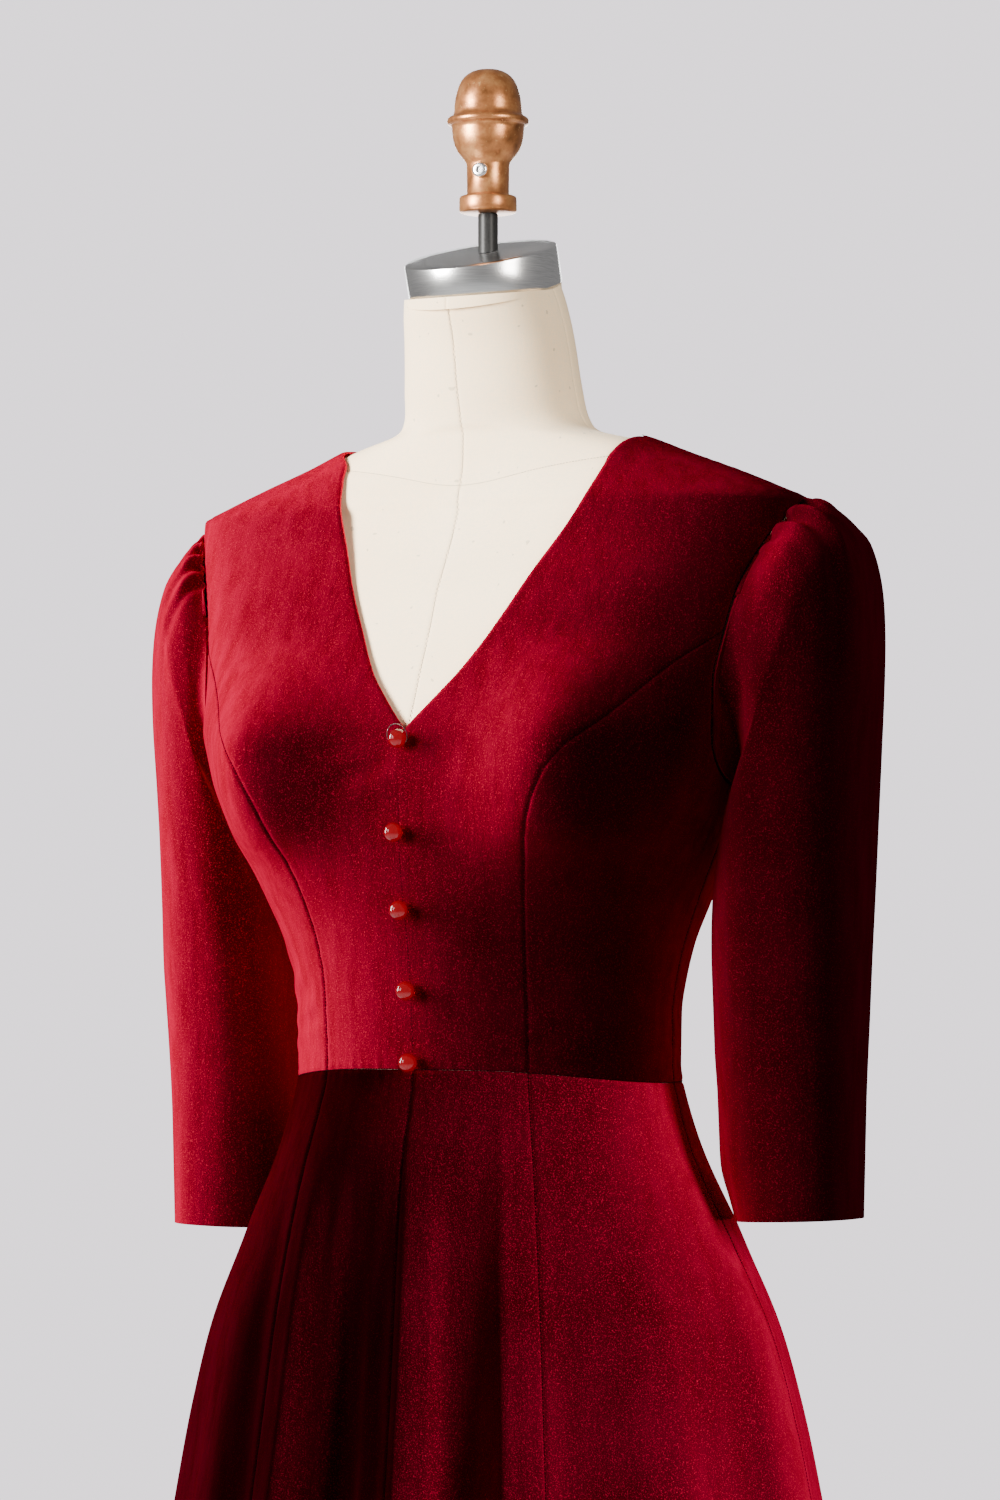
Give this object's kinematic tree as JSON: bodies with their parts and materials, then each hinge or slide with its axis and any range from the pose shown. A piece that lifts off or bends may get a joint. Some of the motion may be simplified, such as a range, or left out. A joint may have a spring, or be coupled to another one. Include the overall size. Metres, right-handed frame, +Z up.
{
  "type": "a-line midi dress on a dress form",
  "caption": "Fitted velvet bodice with V neck and princess seams, gathered-cap sleeves and a flared gored midi skirt, worn by a limbless canvas dress form on a pole and round base.",
  "frame": {"origin": "middle of the base's underside, on the floor", "axes": "+Z up along the pole, the front of the dress faces -Y, the wearer's left is +X"},
  "size_m": [0.5848, 0.4189, 1.6354],
  "materials": {
    "velvet": "stretch velvet pile",
    "button_glass": "translucent red glass",
    "form_canvas": "tight cream canvas",
    "cap_aluminium": "brushed",
    "finial_copper": "worn copper-coloured bronze",
    "black_steel": "satin black"
  },
  "bodies": {
    "root": {"centre_front_left": "velvet", "centre_front_right": "velvet", "side_front_left": "velvet", "side_front_right": "velvet", "bodice_back": "velvet", "skirt_centre_left": "velvet", "skirt_centre_right": "velvet", "skirt_side_left": "velvet", "skirt_side_right": "velvet", "skirt_back": "velvet", "sleeve_left": "velvet", "sleeve_right": "velvet", "button_1": "button_glass", "button_2": "button_glass", "button_3": "button_glass", "button_4": "button_glass", "button_5": "button_glass", "form_torso": "form_canvas", "neck_cap": "cap_aluminium", "finial_rod": "black_steel", "finial": "finial_copper", "finial_screw": "cap_aluminium", "stand_pole": "black_steel", "stand_base": "black_steel"}
  },
  "joints": []
}
